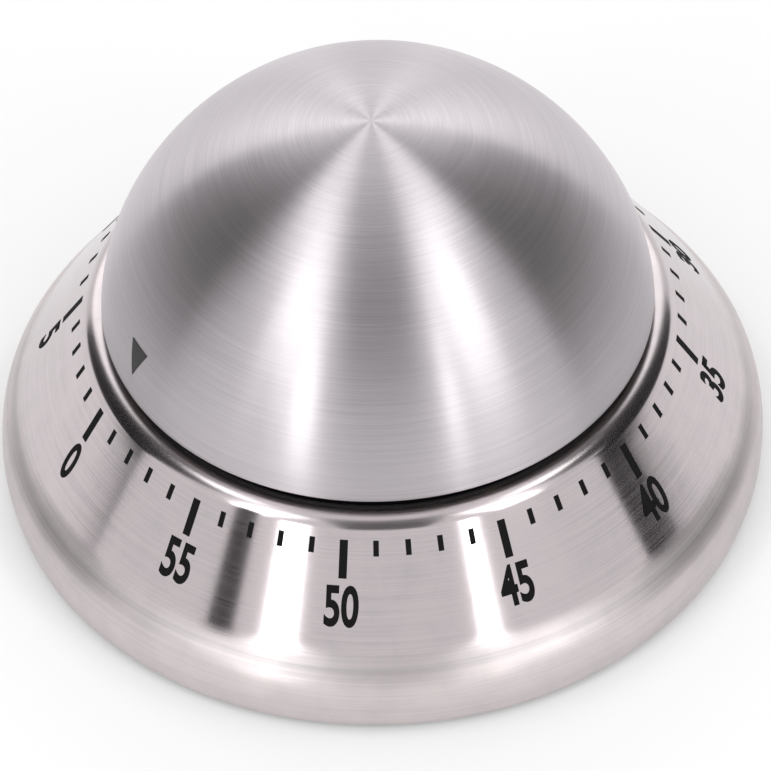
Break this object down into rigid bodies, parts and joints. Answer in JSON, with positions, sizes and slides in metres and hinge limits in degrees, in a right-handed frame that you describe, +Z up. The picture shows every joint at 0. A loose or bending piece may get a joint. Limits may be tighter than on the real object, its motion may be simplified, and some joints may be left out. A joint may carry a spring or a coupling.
{
  "type": "kitchen timer",
  "caption": "Clockwork kitchen timer: a brushed steel dome turns on a cone-shaped steel base with a minute scale, over a sealed movement and bell.",
  "frame": {"origin": "centre of the rubber foot's rest face, where the timer meets the table", "axes": "+Z up along the dial's axis, -Y towards the zero mark of the scale"},
  "size_m": [0.08, 0.08, 0.0487],
  "materials": {
    "skirt_steel": "polished cone, satin hem",
    "dome_steel": "circular brushed",
    "zinc_steel": "zinc plated",
    "blued_steel": "blued spring steel",
    "brass": "stamped",
    "black_plastic": "fine texture",
    "white_plastic": "moulded",
    "foot_rubber": "matte",
    "scale_ink": "printed",
    "pointer_ink": "printed",
    "fibre": "matte"
  },
  "bodies": {
    "case": {"foot_ring": "foot_rubber", "bottom_cover": "black_plastic", "cover_screws": "zinc_steel", "skirt": "skirt_steel", "scale_ticks": "scale_ink", "scale_numerals": "scale_ink", "housing": "black_plastic", "bell": "zinc_steel", "bell_washer": "fibre", "bell_screw": "zinc_steel", "lower_plate": "zinc_steel", "upper_plate": "zinc_steel", "pillars": "brass", "plate_screws": "zinc_steel", "movement_screws": "zinc_steel", "mainspring": "blued_steel", "spring_post": "zinc_steel", "hammer_spring": "blued_steel"},
    "dial": {"dial_arbor": "zinc_steel", "main_wheel": "brass", "clutch_spring": "blued_steel", "clutch_collar": "brass", "stop_arm": "zinc_steel", "alarm_cam": "brass", "dome_hub": "white_plastic", "hub_clip": "blued_steel", "dome": "dome_steel", "pointer_mark": "pointer_ink"},
    "second": {"second_arbor": "zinc_steel", "second_wheel": "brass"},
    "third": {"third_arbor": "zinc_steel", "third_wheel": "brass"},
    "escape": {"escape_arbor": "zinc_steel", "escape_wheel": "brass"},
    "verge": {"verge_arbor": "zinc_steel", "pallet_lever": "zinc_steel", "balance_bar": "brass"},
    "strike": {"strike_arbor": "zinc_steel", "strike_star": "zinc_steel"},
    "hammer": {"hammer_arbor": "zinc_steel", "hammer_arm": "zinc_steel", "hammer_head": "brass"}
  },
  "joints": [
    {"name": "dial_turn", "type": "hinge", "parent": "case", "child": "dial", "pos_m": [0, 0, 0], "axis": [0, 0, 1], "range_deg": [-348, 0]},
    {"name": "second_turn", "type": "hinge", "parent": "case", "child": "second", "pos_m": [0.008, -0.01386, 0], "axis": [0, 0, 1], "range_deg": [-9, 3141]},
    {"name": "third_turn", "type": "hinge", "parent": "case", "child": "third", "pos_m": [0.01523, -0.00489, 0], "axis": [0, 0, 1], "range_deg": [-25128, 72]},
    {"name": "escape_turn", "type": "hinge", "parent": "case", "child": "escape", "pos_m": [0.01532, 0.00463, 0], "axis": [0, 0, 1], "range_deg": [-540, 188460]},
    {"name": "strike_turn", "type": "hinge", "parent": "case", "child": "strike", "pos_m": [-0.01386, -0.008, 0], "axis": [0, 0, 1], "range_deg": [-9, 3141]},
    {"name": "verge_swing", "type": "hinge", "parent": "case", "child": "verge", "pos_m": [0.01071, 0.01189, 0], "axis": [0, 0, 1], "range_deg": [-4, 4]},
    {"name": "hammer_swing", "type": "hinge", "parent": "case", "child": "hammer", "pos_m": [-0.01932, -0.00518, 0], "axis": [0, 0, 1], "range_deg": [-4.5, 0]}
  ],
  "couplings": [
    {"joint": "second_turn", "follows": "dial_turn", "ratio": -9},
    {"joint": "third_turn", "follows": "dial_turn", "ratio": 72},
    {"joint": "escape_turn", "follows": "dial_turn", "ratio": -540},
    {"joint": "strike_turn", "follows": "dial_turn", "ratio": -9}
  ]
}
